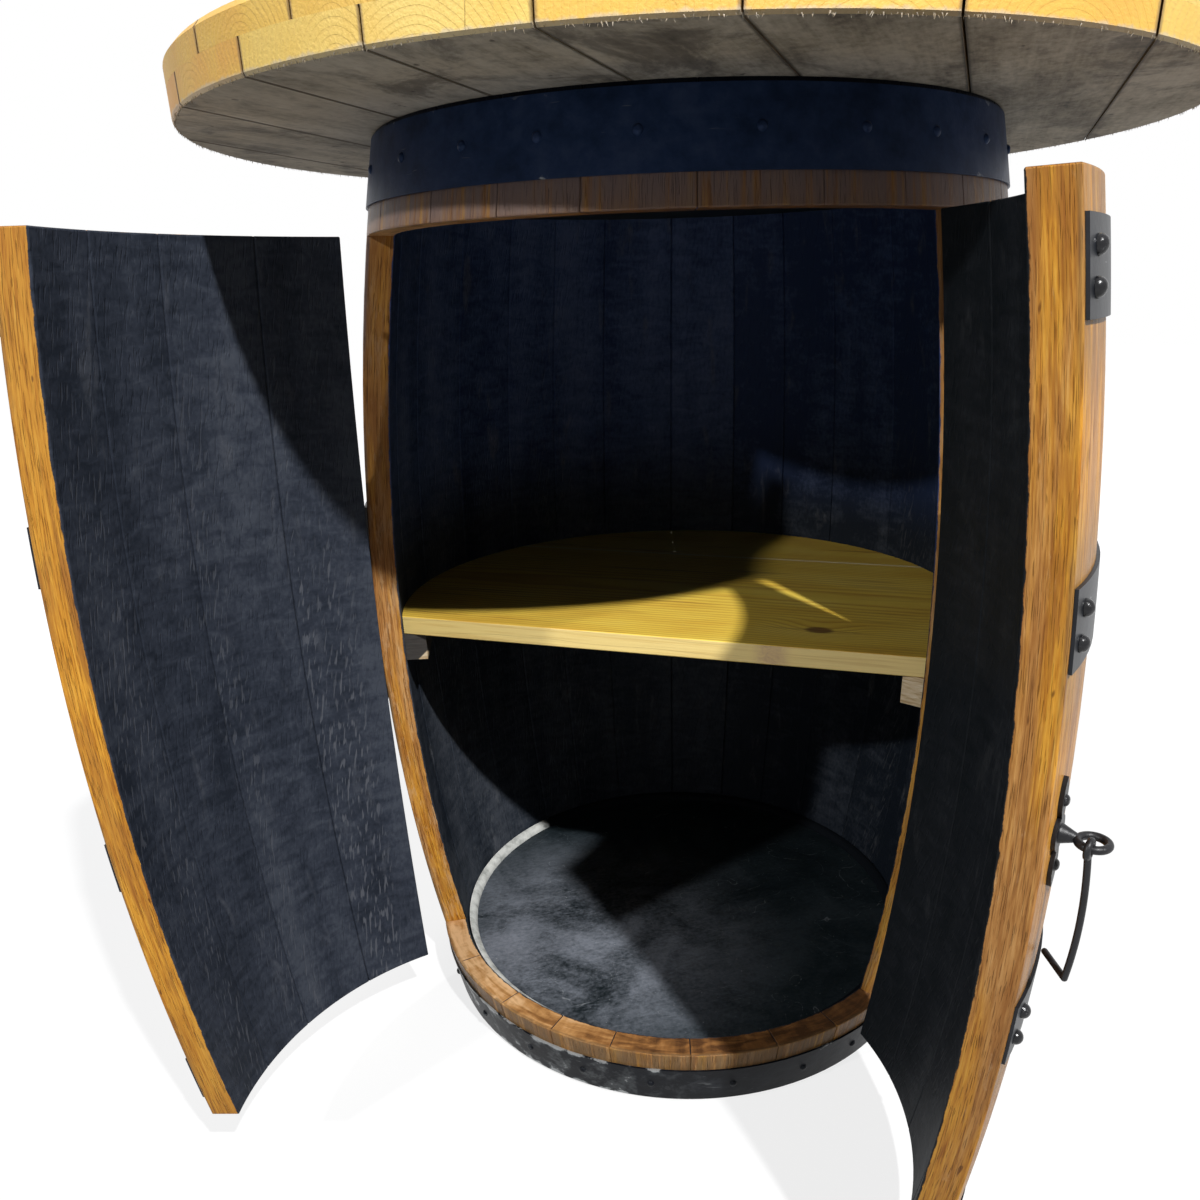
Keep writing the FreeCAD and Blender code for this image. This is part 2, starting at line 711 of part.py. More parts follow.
def make_shelf():
    """A half-round board shelf in two boards, carried on blocks screwed to the staves."""
    radius = radius_at(shelf_bottom_height, -stave_thickness) - shelf_edge_clearance
    front = -bilge_radius + shelf_front_setback
    joint = -bilge_radius + shelf_joint_setback
    disc = Part.makeCylinder(radius, shelf_thickness, Vector(0, 0, shelf_bottom_height), z_axis)
    board_edges = {
        "shelf_front_board": (front, joint - shelf_board_gap / 2),
        "shelf_rear_board": (joint + shelf_board_gap / 2, radius + cut_overrun),
    }
    for name, (near, far) in board_edges.items():
        corner = Vector(-radius, near, shelf_bottom_height)
        box = Part.makeBox(2 * radius, far - near, shelf_thickness, corner)
        board = disc.common(box)
        if near == front:
            nosing = [edge for edge in board.Edges if edge.BoundBox.YMax < front + shelf_edge_rounding]
            long_edges = [edge for edge in nosing if edge.Length > shelf_thickness]
            board = board.makeFillet(shelf_edge_rounding, long_edges)
        add_node(name, [board])

    wall = radius_at(shelf_bottom_height, -stave_thickness)
    low = shelf_bottom_height - block_height
    room = inside_barrel(-stave_thickness - block_seat, low - cut_overrun, shelf_top_height)
    jamb_angle = door_angle + math.degrees((block_width / 2 + block_jamb_margin) / (wall - block_depth))
    blocks = []
    screws = []
    for angle in (jamb_angle, rear_block_angle, -rear_block_angle, -jamb_angle):
        corner = Vector(wall - block_depth, -block_width / 2, low)
        block = Part.makeBox(block_depth + cut_overrun, block_width, block_height, corner)
        block.rotate(origin, z_axis, angle - quarter_turn)
        holes = []
        for step in (-1, 1):
            seat = Vector(wall - block_depth, step * block_screw_spacing / 2, low + block_height / 2)
            pair = []
            for clearance in (0, fastener_clearance):
                screw = wood_screw(block_screw_length, clearance)
                screw.rotate(origin, z_axis, half_turn)
                screw.translate(seat)
                screw.rotate(origin, z_axis, angle - quarter_turn)
                pair.append(screw)
            screws.append(pair[0])
            holes.append(pair[1])
            drill(stave_at(angle + math.degrees(math.atan2(seat.y, wall))), pair[1])
        blocks.append(block.common(room).cut(holes))
    add_node("shelf_blocks", blocks)
    return screws


def make_table():
    """Two layers of boards with staggered seams, and the cleats and screws that hold them to the barrel."""
    lower_top = barrel_height + lower_board_thickness
    lower = Part.makeCylinder(table_radius, lower_board_thickness, Vector(0, 0, barrel_height), z_axis)
    upper = Part.makeCylinder(table_radius, upper_board_thickness, Vector(0, 0, lower_top), z_axis)
    lower = lower.makeChamfer(table_lower_bevel, rim_edges(lower, barrel_height))
    upper = upper.makeChamfer(table_upper_bevel, rim_edges(upper, lower_top + upper_board_thickness))
    upper_seam = table_seam_offset + table_board_width / 2

    cleat_edge = cleat_offset + cleat_width / 2
    clear_radius = radius_at(barrel_height, -stave_thickness) - cleat_end_margin
    half_length = math.sqrt(clear_radius**2 - cleat_edge**2)
    cleats = []
    screws = []
    holes = []
    screw_foot = barrel_height - chime_depth - head_thickness
    for side in (-1, 1):
        corner = Vector(-half_length, side * cleat_offset - cleat_width / 2, barrel_height - chime_depth)
        cleats.append(Part.makeBox(2 * half_length, cleat_width, chime_depth, corner))
        for step in table_screw_board_steps:
            place = Vector(table_seam_offset + step * table_board_width, side * cleat_offset, screw_foot)
            for clearance, group in ((0, screws), (fastener_clearance, holes)):
                screw = wood_screw(table_screw_length, clearance)
                screw.rotate(origin, y_axis, quarter_turn)
                screw.translate(place)
                group.append(turn_table(screw))
    for hole in holes:
        drill("top_head", hole)
    layers = {
        "tabletop_lower_boards": (lower, table_seam_offset, barrel_height, lower_board_thickness),
        "tabletop_upper_boards": (upper, upper_seam, lower_top, upper_board_thickness),
    }
    for name, (disc, seam, height, thickness) in layers.items():
        boards = table_boards(disc, seam, height, thickness)
        add_node(name, [board.cut(holes) for board in boards])
    add_node("tabletop_cleats", [turn_table(cleat).cut(holes) for cleat in cleats])
    add_node("tabletop_screws", screws)


def turn_table(shape):
    """Turn a piece of the board top by the small angle at which it was fixed."""
    placed = shape.copy()
    placed.rotate(origin, z_axis, table_turn)
    return placed


def rim_edges(disc, height):
    """The round edge of a disc at a height."""
    reach = cut_overrun / 2
    rounds = [edge for edge in disc.Edges if edge.Closed]
    return [edge for edge in rounds if abs(edge.CenterOfMass.z - height) < reach]


def table_boards(disc, seam, height, thickness):
    """Saw a disc into boards that run from front to back, with a seam at the given place."""
    first = seam - math.ceil((seam + table_radius) / table_board_width) * table_board_width
    count = math.ceil((table_radius - first) / table_board_width)
    boards = []
    for index in range(count):
        left = first + index * table_board_width + table_board_gap / 2
        corner = Vector(left, -table_radius, height)
        box = Part.makeBox(table_board_width - table_board_gap, 2 * table_radius, thickness, corner)
        boards.append(disc.common(turn_table(box)))
    return boards


make_table()
make_heads()
hinge_screws = make_hinges()
make_latch(hinge_screws)
block_screws = make_shelf()
add_node("carcass_screws", hinge_screws["frame"] + block_screws)
make_hoops()
make_staves()

os.makedirs("parts", exist_ok=True)
for node_name, node_shape in nodes.items():
    node_shape.exportStep(f"parts/{node_name}.step")
    print(node_name, len(node_shape.Solids), node_shape.isValid(), round(node_shape.Volume))
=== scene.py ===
import json
import math
import random

import bpy
from mathutils import Matrix, Vector

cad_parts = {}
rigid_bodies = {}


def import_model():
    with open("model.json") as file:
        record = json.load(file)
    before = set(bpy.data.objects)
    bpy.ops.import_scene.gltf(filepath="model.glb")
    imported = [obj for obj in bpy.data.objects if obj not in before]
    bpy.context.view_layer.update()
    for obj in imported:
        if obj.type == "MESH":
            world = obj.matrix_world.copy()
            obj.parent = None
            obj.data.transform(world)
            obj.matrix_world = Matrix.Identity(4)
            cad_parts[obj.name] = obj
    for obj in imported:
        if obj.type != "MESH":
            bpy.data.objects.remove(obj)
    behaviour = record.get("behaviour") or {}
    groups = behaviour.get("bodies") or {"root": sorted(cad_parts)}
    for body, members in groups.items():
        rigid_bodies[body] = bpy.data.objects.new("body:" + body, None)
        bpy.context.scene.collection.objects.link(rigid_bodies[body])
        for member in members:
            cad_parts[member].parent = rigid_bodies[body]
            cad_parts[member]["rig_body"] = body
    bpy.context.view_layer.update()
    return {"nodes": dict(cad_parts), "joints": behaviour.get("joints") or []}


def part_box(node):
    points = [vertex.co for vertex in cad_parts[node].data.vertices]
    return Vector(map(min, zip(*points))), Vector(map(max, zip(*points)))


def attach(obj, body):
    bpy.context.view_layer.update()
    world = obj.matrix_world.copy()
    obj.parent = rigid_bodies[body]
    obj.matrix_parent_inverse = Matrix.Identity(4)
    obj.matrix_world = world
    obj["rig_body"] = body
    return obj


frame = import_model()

nodes = frame["nodes"]
joints = {joint["name"]: joint for joint in frame["joints"]}

# Barrel, in metres and radians
barrel_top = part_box("carcass_stave_01")[1].z
mid_height = barrel_top / 2
end_radius = 0.277
bilge_radius = 0.326
bilge_swell = bilge_radius - end_radius
curve_radius = (mid_height**2 + bilge_swell**2) / (2 * bilge_swell)
curve_centre = bilge_radius - curve_radius
stave_thickness = 0.025
stave_group_turn = math.radians(60)
stave_width_shares = (0.267, 0.291, 0.225, 0.217)
door_turn = math.radians(60)
hoop_names = (
    "top_chime_hoop",
    "upper_quarter_hoop",
    "upper_bilge_hoop",
    "lower_bilge_hoop",
    "lower_quarter_hoop",
    "bottom_chime_hoop",
)
hoop_levels = [(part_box(name)[0].z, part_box(name)[1].z) for name in hoop_names]

# Shelf, with its knot as (across, depth, size) from the barrel's axis, in metres
shelf_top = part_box("shelf_front_board")[1].z
shelf_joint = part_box("shelf_rear_board")[0].y
shelf_joint_line = (0.004, 0.001)
shelf_pith = (0.02, -0.075)
shelf_ring_width = 0.0052
shelf_ring_wander = 0.016
shelf_face_knot = (0.161, -0.089, 0.011)
shelf_knot_stretch = 1.5
shelf_knot_lift = 0.02
shelf_whorl_x = 0.123
shelf_whorl_reach = (0.022, 0.004)

# Lit corner of the left front shelf block, across and up, in metres; the rest of its front is a painted
# shadow
block_lit_corner = (-0.252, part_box("shelf_blocks")[0].z)
block_shadow_edge = (0.001, -0.001)

# Board top, in metres and radians, with the first board of each layer that isn't in warmer wood
table_radius = 0.435
table_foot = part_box("tabletop_lower_boards")[0].z
table_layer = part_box("tabletop_lower_boards")[1].z
table_board_width = 0.105
lower_seam = 0.044
upper_seam = lower_seam + table_board_width / 2
table_turn = math.radians(-2.2)
table_ring_width = 0.0043
table_ring_wander = 0.010
table_pith_spread = 0.07
table_pith_top = 0.006
table_pith_drop = 0.035
lower_warm_end = -2
upper_warm_end = -4
fur_height = 0.006
fur_edge = (0.001, -0.0015)

# Torn fibres along the lower edge of the board top, in metres; a pair is the least and what chance adds
fibre_places = 2600
fibre_inset = 0.0022
fibre_spread = 0.0014
fibre_root = 0.0012
fibre_length = (0.0004, 0.0022)
fibre_width = (0.0002, 0.0004)
fibre_bare_share = 0.35
fibre_bare_swing_share = 0.3
fibre_patches = (11, 3)
fibre_side_lean = 0.9
fibre_radial_lean = (-0.6, 0.15)
fibre_faces = ((0, 1, 3), (1, 2, 3), (2, 0, 3), (0, 2, 1))

# Where marks on the staves and hoops begin and where they are full, in metres and radians
sawn_reach = math.radians(1.4)
varnish_skin = (stave_thickness - 0.004, stave_thickness - 0.001)
paint_edge = (0.0004, 0.0012)
paint_edge_wander = 0.0045
# Painted shade: the band at the stave tops, under the board top, is darkened to near black
painted_shade_top = (barrel_top - 0.006, barrel_top - 0.004)
# Painted sheen: height over which the upper walls turn to the bluish tints
navy_sheen_rise = (shelf_top + 0.02, shelf_top + 0.16)
hoop_stain_reach = (0.055, 0.004)
joint_line = (0.0024, 0.0006)
# Painted shade: the oak darkens with distance from a lit height set for each body
painted_shade_reach = (0.06, 0.40)
pore_column = (0.13, 0.06)
# Painted sheen: foot of the bluish tint on the top chime hoop, which lies in the board top's shade
navy_sheen_hoop_foot = (hoop_levels[0][0] - 0.03, hoop_levels[0][0])
hoop_worn_edge = (0, 0.006)
kick_turn = -0.45
kick_reach = (1.0, 0.2)
kick_height = (0.20, 0.05)

# Black paint inside, from dark to pale
wall_tints = (
    (0.011, 0.015, 0.022),
    (0.029, 0.035, 0.046),
    (0.053, 0.060, 0.074),
    (0.14, 0.145, 0.155),
)
# Brighter bluish tints for the upper walls: a painted blue sheen and cast of shade over the black paint
navy_sheen_tints = (
    (0.022, 0.040, 0.112),
    (0.050, 0.082, 0.200),
    (0.085, 0.124, 0.270),
    (0.15, 0.165, 0.22),
)
left_door_tints = (
    (0.015, 0.019, 0.028),
    (0.030, 0.036, 0.051),
    (0.052, 0.060, 0.078),
    (0.090, 0.097, 0.115),
)
# Painted shade: the right door's inside paint is a darker copy of the left door's
right_door_shaded_tints = (
    (0.006, 0.008, 0.010),
    (0.011, 0.013, 0.016),
    (0.021, 0.024, 0.028),
    (0.05, 0.053, 0.057),
)

# How far chance moves each stave's grain, and the number that the boards' draws start from
grain_shift = 7.0
end_grain_shift = 5.0
board_draw_start = 20.0

# Columns of pale open pores inside, as (turn from the front in radians, strength)
wall_pores = ((-2.3, 0.25), (-1.7, 0.2), (1.45, 0.35), (2.2, 0.25))
left_door_pores = ((-0.86, 0.9), (-0.47, 0.5), (-0.12, 0.6))
right_door_pores = ((0.45, 0.4),)

# Middle and reach of the scuffed part of the bottom head, which also paints the pool of light there, and
# the way it was wiped
head_scuff_and_light_place = (-0.10, -0.12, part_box("bottom_head_boards")[1].z)
head_scuff_and_light_reach = (0.28, 0.05)
head_wipe_turn = math.radians(-35)

# Slanting line past which the sealing bead is painted over, and at the back darkened as painted shade, in
# metres
bead_slant = 0.62
bead_paint_and_shade_wander = 0.06
bead_paint_and_shade_edge = (-0.165, -0.140)

# Camera, from the photograph's own view
image_size = 1200
focal_pixels = 964.72
centre_drop_pixels = 97.85
centre_right_pixels = 11.53
camera_place = Vector((0.24352, -0.99562, 0.76353))
camera_yaw = math.radians(18.13)
camera_pitch = math.radians(23.01)
camera_roll = math.radians(-1.62)
sensor_width = 36.0

# Lamps, as (name, place, size, power)
lamps = (
    ("key", Vector((1.5, -1.83, 2.89)), 0.09, 143.0),
    ("side", Vector((-1.96, -2.92, 2.36)), 0.12, 52.0),
    ("back", Vector((-0.5, 2.9, 2.3)), 1.8, 60.0),
)
lamp_target = Vector((0, 0, mid_height))
room_light = (0.024, 0.031, 0.050, 1)
white = (1, 1, 1, 1)

# Floor, with its glow for the eye and the distance over which that rises to white
floor_size = 24.0
floor_drop = 0.0005
floor_glow = 0.80
floor_fade = (0.9, 1.9)
floor_shade = (0.20, 0.20, 0.20, 1)
floor_bounce = (0.29, 0.29, 0.285, 1)


class Look:
    """One procedural material, built up from short node calls."""

    def __init__(self, name):
        self.material = bpy.data.materials.new(name)
        self.material.use_nodes = True
        self.tree = self.material.node_tree
        self.tree.nodes.clear()
        self.shader = self.node("ShaderNodeBsdfPrincipled")
        output = self.node("ShaderNodeOutputMaterial")
        self.tree.links.new(self.shader.outputs["BSDF"], output.inputs["Surface"])
        coordinates = self.node("ShaderNodeTexCoord")
        self.place = coordinates.outputs["Object"]
        self.normal = coordinates.outputs["Normal"]

    def node(self, kind, **settings):
        made = self.tree.nodes.new(kind)
        for setting, value in settings.items():
            setattr(made, setting, value)
        return made

    def feed(self, socket, value):
        """Link a node's output to a socket, or set a constant on it."""
        if isinstance(value, bpy.types.NodeSocket):
            self.tree.links.new(value, socket)
        else:
            socket.default_value = value

    def math(self, operation, *values):
        made = self.node("ShaderNodeMath", operation=operation)
        for socket, value in zip(made.inputs, values):
            self.feed(socket, value)
        return made.outputs["Value"]

    def fold(self, operation, values):
        """One value out of many, by the same operation with each in turn."""
        total = values[0]
        for value in values[1:]:
            total = self.math(operation, total, value)
        return total

    def times(self, *values):
        return self.fold("MULTIPLY", values)

    def plus(self, *values):
        return self.fold("ADD", values)

    def minus(self, first, second):
        return self.math("SUBTRACT", first, second)

    def gap(self, first, second):
        """How far apart two numbers are."""
        return self.math("ABSOLUTE", self.minus(first, second))

    def span(self, first, second):
        """The length of a line from its two parts at right angles."""
        squares = self.plus(self.math("POWER", first, 2), self.math("POWER", second, 2))
        return self.math("SQRT", squares)

    def weigh(self, *shares):
        """The sum of values, each times its weight."""
        return self.plus(*[self.times(value, weight) for value, weight in shares])

    def split(self, vector):
        made = self.node("ShaderNodeSeparateXYZ")
        self.feed(made.inputs["Vector"], vector)
        return made.outputs["X"], made.outputs["Y"], made.outputs["Z"]

    def join(self, *parts):
        made = self.node("ShaderNodeCombineXYZ")
        for socket, value in zip(made.inputs, parts):
            self.feed(socket, value)
        return made.outputs["Vector"]

    def facing_up(self):
        """1 on a face that looks straight up, and -1 on one that looks down."""
        return self.split(self.normal)[2]

    def noise(self, parts, scales, detail=4, roughness=0.55, distortion=0):
        """Noise over three coordinates, each with its own scale."""
        made = self.node("ShaderNodeTexNoise")
        stretched = [self.times(part, scale) for part, scale in zip(parts, scales)]
        self.feed(made.inputs["Vector"], self.join(*stretched))
        made.inputs["Scale"].default_value = 1
        made.inputs["Detail"].default_value = detail
        made.inputs["Roughness"].default_value = roughness
        made.inputs["Distortion"].default_value = distortion
        return made.outputs["Fac"]

    def chance(self, number):
        """Three even random numbers for a number."""
        made = self.node("ShaderNodeTexWhiteNoise", noise_dimensions="1D")
        self.feed(made.inputs["W"], number)
        return self.split(made.outputs["Color"])

    def ramp(self, value, none, full):
        """A smooth step from 0 to 1 between two values, of which either may be the higher."""
        made = self.node("ShaderNodeMapRange", interpolation_type="SMOOTHSTEP")
        self.feed(made.inputs["Value"], value)
        made.inputs["From Min"].default_value = none
        made.inputs["From Max"].default_value = full
        return made.outputs["Result"]

    def tones(self, value, *stops):
        """A colour ramp through (position, colour) stops."""
        made = self.node("ShaderNodeValToRGB")
        elements = made.color_ramp.elements
        while len(elements) < len(stops):
            elements.new(1.0)
        for element, (position, colour) in zip(elements, stops):
            element.position = position
            element.color = (*colour, 1)
        self.feed(made.inputs["Fac"], value)
        return made.outputs["Color"]

    def mix(self, share, first, second, blend="MIX"):
        made = self.node("ShaderNodeMixRGB", blend_type=blend)
        self.feed(made.inputs["Fac"], share)
        for socket, colour in zip(("Color1", "Color2"), (first, second)):
            self.feed(made.inputs[socket], (*colour, 1) if isinstance(colour, tuple) else colour)
        return made.outputs["Color"]

    def over(self, colour, tint, mask, strength):
        """A colour with a tint laid over it where the mask is, at a strength."""
        return self.mix(self.times(mask, strength), colour, tint)

    def turn_about_z(self, vector, centre, angle):
        made = self.node("ShaderNodeVectorRotate", rotation_type="Z_AXIS")
        self.feed(made.inputs["Vector"], vector)
        made.inputs["Center"].default_value = centre
        made.inputs["Angle"].default_value = angle
        return made.outputs["Vector"]

    def bump(self, height, distance):
        made = self.node("ShaderNodeBump")
        made.inputs["Distance"].default_value = distance
        self.feed(made.inputs["Height"], height)
        self.feed(self.shader.inputs["Normal"], made.outputs["Normal"])

    def dress(self, colour, roughness, metallic=0.0, coat=0.0, coat_roughness=0.18, specular=0.5):
        """Set the shader's main sockets and hand back the material."""
        self.feed(self.shader.inputs["Base Color"], colour)
        self.feed(self.shader.inputs["Roughness"], roughness)
        self.feed(self.shader.inputs["Metallic"], metallic)
        self.shader.inputs["Coat Weight"].default_value = coat
        self.shader.inputs["Coat Roughness"].default_value = coat_roughness
        self.shader.inputs["Specular IOR Level"].default_value = specular
        return self.material


class BarrelPlace:
    """Where a point lies on the closed barrel: turn from the front, height, depth in the wall, stave."""

    def __init__(self, look, joint=None):
        place = look.place
        if joint:
            closing = math.radians(joint["range_deg"][0]) * joint["axis"][2]
            place = look.turn_about_z(place, joint["pos_m"], closing)
        x, y, self.z = look.split(place)
        self.turn = look.math("ARCTAN2", x, look.times(y, -1))
        self.arc = look.times(self.turn, bilge_radius)
        rise = look.math("POWER", look.minus(self.z, mid_height), 2)
        reach = look.minus((curve_radius - stave_thickness) ** 2, rise)
        inner_radius = look.plus(look.math("SQRT", reach), curve_centre)
        self.depth = look.minus(look.span(x, y), inner_radius)
        self.parts = (self.arc, self.depth, self.z)
        groups = look.math("DIVIDE", self.turn, stave_group_turn)
        part = look.math("FRACT", groups)
        self.stave = look.times(look.math("FLOOR", groups), len(stave_width_shares))
        edge = 0
        nearest = part
        for share in stave_width_shares:
            edge += share
            self.stave = look.plus(self.stave, look.math("GREATER_THAN", part, edge))
            nearest = look.math("MINIMUM", nearest, look.gap(part, edge))
        self.to_joint = look.times(nearest, stave_group_turn * bilge_radius)


def beyond_hoops(look, z):
    """Distance along the barrel to the nearest hoop edge, negative within a hoop's width."""
    edges = [look.minus(look.gap(z, (low + high) / 2), (high - low) / 2) for low, high in hoop_levels]
    return look.fold("MINIMUM", edges)


def oak_grain(look, at, chances, sawn, gold_low, rubbed_low):
    """Colour and relief of varnished oak with its grain up the barrel: tan, with gold and brown bands."""
    shift = look.times(chances[0], grain_shift)
    parts = (look.plus(at.arc, shift), at.depth, look.plus(at.z, shift))
    broad = look.noise(parts, (50, 50, 3.2), detail=3, roughness=0.5, distortion=0.5)
    streak = look.noise(parts, (300, 300, 13), detail=6, roughness=0.7, distortion=0.4)
    fine = look.noise(parts, (900, 900, 38), detail=2)
    patch = look.noise(parts, (80, 80, 14), detail=6, roughness=0.65)
    stave_tone = look.minus(chances[1], 0.5)
    tone = look.weigh((streak, 0.52), (fine, 0.28), (patch, 0.20), (stave_tone, 0.06))
    tan = look.tones(
        tone,
        (0.36, (0.20, 0.080, 0.024)),
        (0.45, (0.40, 0.180, 0.050)),
        (0.53, (0.54, 0.268, 0.084)),
        (0.64, (0.68, 0.395, 0.155)),
    )
    gold = look.tones(
        tone,
        (0.36, (0.30, 0.10, 0.012)),
        (0.45, (0.56, 0.240, 0.028)),
        (0.53, (0.71, 0.345, 0.045)),
        (0.64, (0.81, 0.46, 0.090)),
    )
    gold_outside = look.ramp(broad, 0.47, 0.65)
    gold_sawn = look.ramp(broad, gold_low, gold_low + 0.18)
    more_gold = look.times(sawn, look.minus(gold_sawn, gold_outside))
    colour = look.mix(look.plus(gold_outside, more_gold), tan, gold)
    brown = look.noise(parts, (95, 95, 9), detail=5, roughness=0.6, distortion=0.5)
    colour = look.over(colour, (0.27, 0.10, 0.022), look.ramp(brown, 0.53, 0.66), 0.62)
    deep = look.noise(parts, (36, 36, 8), detail=5, roughness=0.65, distortion=0.4)
    deep_sawn = look.times(look.ramp(deep, 0.49, 0.62), sawn)
    colour = look.over(colour, (0.34, 0.135, 0.032), deep_sawn, 0.5)
    rubbed = look.noise(parts, (110, 110, 24), detail=6, roughness=0.75)
    colour = look.over(colour, (0.64, 0.42, 0.22), look.ramp(rubbed, rubbed_low, rubbed_low + 0.12), 0.45)
    pores = look.ramp(look.noise(parts, (1500, 1500, 46), detail=1), 0.60, 0.72)
    colour = look.over(colour, (0.17, 0.064, 0.016), pores, 0.4)
    knots = look.ramp(look.noise(parts, (170, 170, 48), detail=1), 0.745, 0.79)
    colour = look.over(colour, (0.10, 0.032, 0.010), knots, 0.8)
    return colour, look.minus(look.times(streak, 0.5), pores)


def oak_end_grain(look, at, chances):
    """Colour of oak sawn across: darker, with soft rings and rays, and lighter on the left and darker on
    the right as painted light and shade.
    """
    parts = (look.plus(at.arc, look.times(chances[2], end_grain_shift)), at.depth, at.z)
    rings = look.noise(parts, (22, 110, 20), detail=5, distortion=0.8)
    rays = look.noise(parts, (120, 30, 20), roughness=0.6)
    paler = look.plus(look.weigh((rings, 0.60), (rays, 0.20)), 0.235)
    # Painted light and shade: lighter on the left, darker towards the right
    tone = look.minus(paler, look.times(look.ramp(at.turn, -0.75, 0.4), 0.24))
    return look.tones(
        tone,
        (0.34, (0.10, 0.044, 0.018)),
        (0.46, (0.29, 0.130, 0.042)),
        (0.56, (0.50, 0.255, 0.090)),
        (0.68, (0.74, 0.46, 0.235)),
    )


def black_paint(look, at, chances, tints, high_tints, pores, stave_tone_and_shade):
    """Colour and relief of black paint brushed across rough staves, with columns of pale open pores,
    painted shade towards the right, and a brighter bluish painted sheen up high where its tints are given.
    """
    broad = look.noise(at.parts, (16, 16, 4))
    brushed = look.noise(at.parts, (26, 26, 80), roughness=0.6, distortion=0.6)
    mottle = look.noise(at.parts, (230, 60, 170), detail=3)
    stave_tone = look.minus(chances[1], 0.5)
    tone = look.weigh((broad, 0.42), (brushed, 0.34), (mottle, 0.24), (stave_tone, stave_tone_and_shade))
    # Painted shade: the paint darkens towards the right side of the barrel
    tone = look.minus(tone, look.times(look.ramp(at.turn, 0.2, 1.2), 0.085))
    stops = (0.40, 0.50, 0.60)
    dark, pale = tints[0], tints[3]
    colour = look.tones(tone, *zip(stops, tints))
    # Painted sheen: up high the paint takes the brighter bluish tints
    if high_tints:
        high = look.ramp(at.z, *navy_sheen_rise)
        dark = look.mix(high, dark, high_tints[0])
        pale = look.mix(high, pale, high_tints[3])
        colour = look.mix(high, colour, look.tones(tone, *zip(stops, high_tints)))

    smear = look.ramp(look.noise(at.parts, (42, 30, 13), detail=5, distortion=0.7), 0.58, 0.74)
    colour = look.over(colour, pale, look.times(smear, mottle), 0.7)
    leaning = (look.plus(at.arc, look.times(at.z, 0.22)), at.depth, at.z)
    dashes = look.ramp(look.noise(leaning, (290, 30, 60), detail=1), 0.55, 0.65)
    patches = look.ramp(look.noise(at.parts, (34, 5, 2.2), detail=2), 0.36, 0.52)
    columns = []
    for turn, strength in pores:
        columns.append(look.times(look.ramp(look.gap(at.turn, turn), *pore_column), strength))
    low = look.ramp(at.z, barrel_top, mid_height)
    open_pores = look.times(dashes, patches, look.fold("MAXIMUM", columns), low)
    colour = look.mix(open_pores, colour, pale)
    joints_shown = look.ramp(at.to_joint, *joint_line)
    colour = look.over(colour, dark, joints_shown, 0.25)
    return colour, look.minus(brushed, look.weigh((dashes, 0.5), (joints_shown, 0.3)))


def stave_look(
    name,
    tints,
    pores,
    sawn_turns,
    gold_low,
    rubbed_low,
    painted_light_height,
    high_tints=None,
    right_painted_shade=0,
    joint=None,
):
    """Oak staves: varnished outside and where sawn, and painted black inside up to an uneven line, with
    painted shade away from a lit height, towards the right and in the top band under the board top.
    """
    look = Look(name)
    at = BarrelPlace(look, joint)
    chances = look.chance(at.stave)
    across = look.ramp(look.math("ABSOLUTE", look.facing_up()), 0.6, 0.8)
    cuts = [look.math("LESS_THAN", look.gap(at.turn, turn), sawn_reach) for turn in sawn_turns]
    sawn = look.fold("MAXIMUM", [across, *cuts])
    outside = look.ramp(at.depth, *varnish_skin)

    oak, oak_relief = oak_grain(look, at, chances, sawn, gold_low, rubbed_low)
    # Painted shade: the oak darkens away from the height where the light falls brightest
    painted_shade_share = look.ramp(look.gap(at.z, painted_light_height), *painted_shade_reach)
    oak = look.over(oak, (0.19, 0.090, 0.040), painted_shade_share, 0.38)
    oak = look.mix(across, oak, oak_end_grain(look, at, chances))
    # Painted shade: sawn faces darken towards the right side, where the door's shadow falls
    if right_painted_shade:
        painted_right_shade_mask = look.times(look.ramp(at.turn, 0.3, 1.0), sawn)
        oak = look.over(oak, (0.15, 0.090, 0.050), painted_right_shade_mask, right_painted_shade)

    stain_noise = look.noise(at.parts, (120, 120, 7), detail=5, roughness=0.6)
    near_hoop = look.ramp(beyond_hoops(look, at.z), *hoop_stain_reach)
    stain = look.times(near_hoop, look.ramp(stain_noise, 0.30, 0.54), outside)
    stain_tint = (0.17, 0.105, 0.050)
    if not joint:
        stain_tint = look.mix(look.ramp(at.z, mid_height, barrel_top), stain_tint, (0.25, 0.195, 0.195))
    oak = look.over(oak, stain_tint, stain, 0.55 if joint else 0.85)
    # Painted shade: the stave tops, in the gap under the board top, go near black
    oak = look.mix(look.ramp(at.z, *painted_shade_top), oak, (0.010, 0.012, 0.018))

    # Per-stave tone, larger on the doors, where it also stands in as painted shade of the flat staves
    stave_tone_and_shade = 0.13 if joint else 0.06
    paint, paint_relief = black_paint(look, at, chances, tints, high_tints, pores, stave_tone_and_shade)
    wander = look.noise(at.parts, (90, 90, 55), detail=5, roughness=0.7)
    line = look.times(look.minus(wander, 0.36), paint_edge_wander)
    bare = look.ramp(look.minus(at.depth, line), *paint_edge)
    bare = look.times(bare, look.math("MAXIMUM", sawn, outside))
    look.bump(look.mix(bare, paint_relief, oak_relief), distance=0.0006)
    rough = look.minus(0.56, look.times(bare, 0.20))
    return look.dress(look.mix(bare, paint, oak), rough, specular=0.08)


